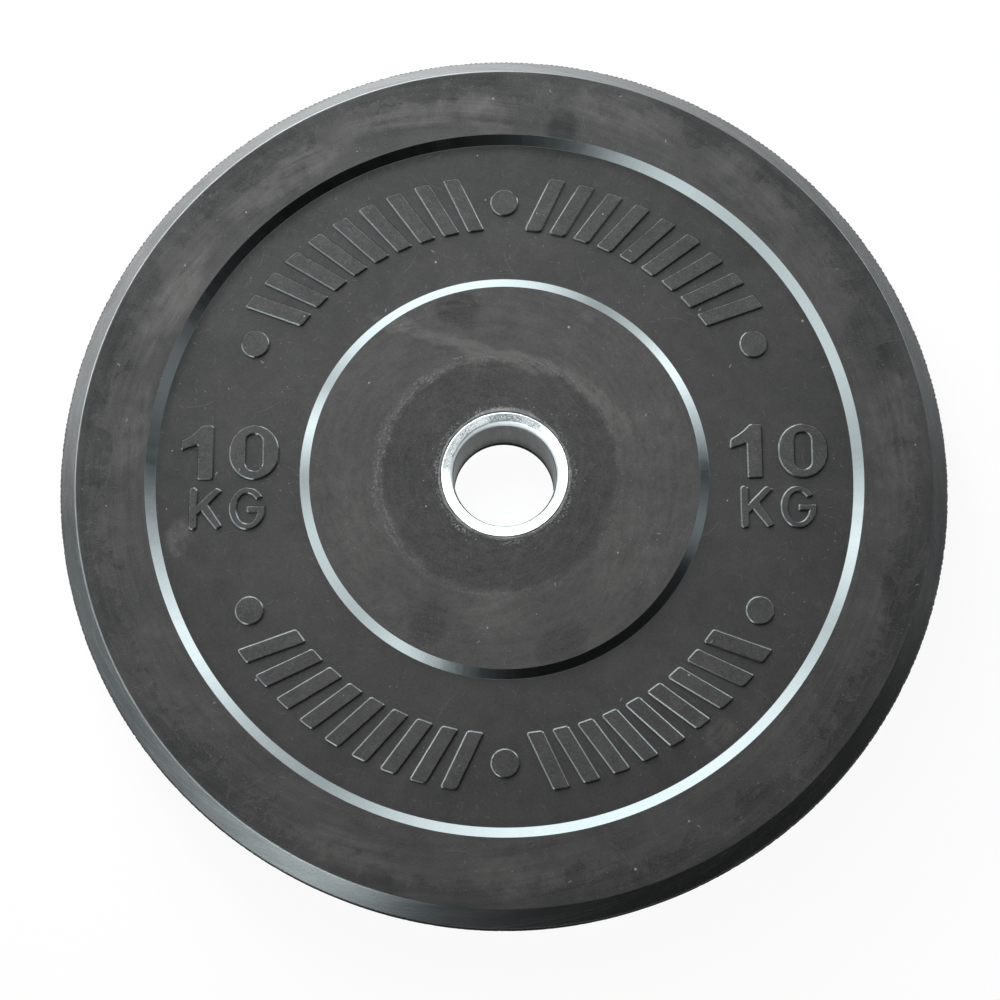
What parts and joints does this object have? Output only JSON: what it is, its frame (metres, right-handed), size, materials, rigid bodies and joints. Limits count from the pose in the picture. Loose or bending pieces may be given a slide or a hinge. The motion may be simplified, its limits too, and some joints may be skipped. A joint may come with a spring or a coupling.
{
  "type": "bumper plate",
  "caption": "Round rubber weight plate with a raised rim and boss on both faces, a chamfered tread and a steel hub sleeve for a barbell end.",
  "frame": {"origin": "centre of the lower face, on the plate's axis, with the plate lying flat", "axes": "+Z along the plate's axis, out of the face that the picture shows; +X to the right and +Y up in the picture"},
  "size_m": [0.45, 0.45, 0.051],
  "materials": {
    "black_rubber": "satin",
    "turned_steel": "turned",
    "plate_steel": "matte",
    "weld_metal": "matte"
  },
  "bodies": {
    "root": {"rubber_body": "black_rubber", "hub_sleeve": "turned_steel", "anchor_flange": "plate_steel", "front_weld_bead": "weld_metal", "back_weld_bead": "weld_metal"}
  },
  "joints": []
}
